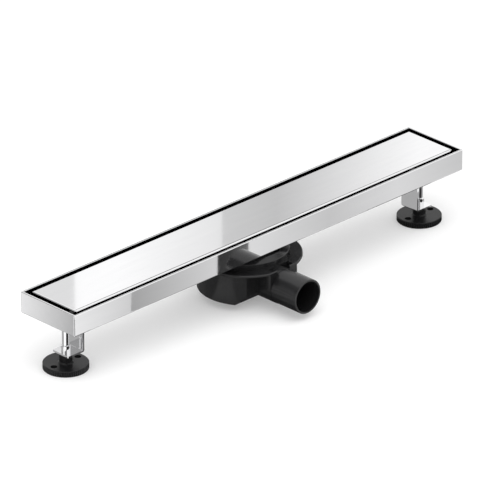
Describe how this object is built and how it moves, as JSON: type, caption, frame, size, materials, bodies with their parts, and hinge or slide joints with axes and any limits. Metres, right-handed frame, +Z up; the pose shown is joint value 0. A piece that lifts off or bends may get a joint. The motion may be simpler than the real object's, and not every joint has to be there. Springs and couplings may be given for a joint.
{
  "type": "linear shower drain",
  "caption": "Long shallow steel shower channel with a flush solid cover, a perimeter inlet gap, levelling feet and a round drum trap with a side outlet spigot.",
  "frame": {"origin": "middle of the cover's top face, which is the level of the finished shower floor", "axes": "+X along the channel, +Z up, the outlet spigot points to -Y"},
  "size_m": [0.6, 0.16, 0.0895],
  "materials": {
    "polished_steel": "mirror polished",
    "trap_plastic": "satin moulded",
    "foot_plastic": "satin moulded",
    "seal_rubber": "matt"
  },
  "bodies": {
    "drain": {"channel": "polished_steel", "cover_plate": "polished_steel", "left_outer_support": "polished_steel", "left_inner_support": "polished_steel", "right_inner_support": "polished_steel", "right_outer_support": "polished_steel", "left_bracket": "polished_steel", "right_bracket": "polished_steel", "left_bush": "polished_steel", "right_bush": "polished_steel", "strainer": "polished_steel", "trap_head": "trap_plastic", "trap_body": "trap_plastic", "clamp_sleeve": "trap_plastic", "trap_insert": "trap_plastic", "cover_pads": "seal_rubber", "inlet_seal": "seal_rubber", "head_seal": "seal_rubber", "insert_seal": "seal_rubber"},
    "left_leg": {"left_foot": "foot_plastic", "left_stud": "polished_steel"},
    "right_leg": {"right_foot": "foot_plastic", "right_stud": "polished_steel"}
  },
  "joints": [
    {"name": "left_foot_level", "type": "slide", "parent": "drain", "child": "left_leg", "axis": [0, 0, -1], "range_m": [0, 0.025]},
    {"name": "right_foot_level", "type": "slide", "parent": "drain", "child": "right_leg", "axis": [0, 0, -1], "range_m": [0, 0.025]}
  ]
}
